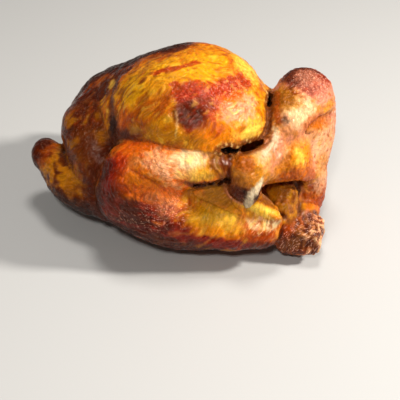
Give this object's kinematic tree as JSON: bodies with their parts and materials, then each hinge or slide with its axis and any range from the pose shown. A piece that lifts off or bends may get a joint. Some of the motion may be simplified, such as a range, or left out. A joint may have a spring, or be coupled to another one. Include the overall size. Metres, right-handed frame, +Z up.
{
  "type": "roast chicken",
  "caption": "Whole roast chicken lying on its back, glazed brown skin, folded wings, shanks crossed in front of an open body cavity.",
  "frame": {"origin": "on the flat spot of the back that the bird rests on, under the middle of the body", "axes": "+X from the neck to the tail, +Y towards the raised leg, +Z up"},
  "size_m": [0.2122, 0.1454, 0.1305],
  "materials": {
    "skin": "glossy, unevenly browned roast skin"
  },
  "bodies": {
    "root": {"roast_chicken": "skin"}
  },
  "joints": []
}
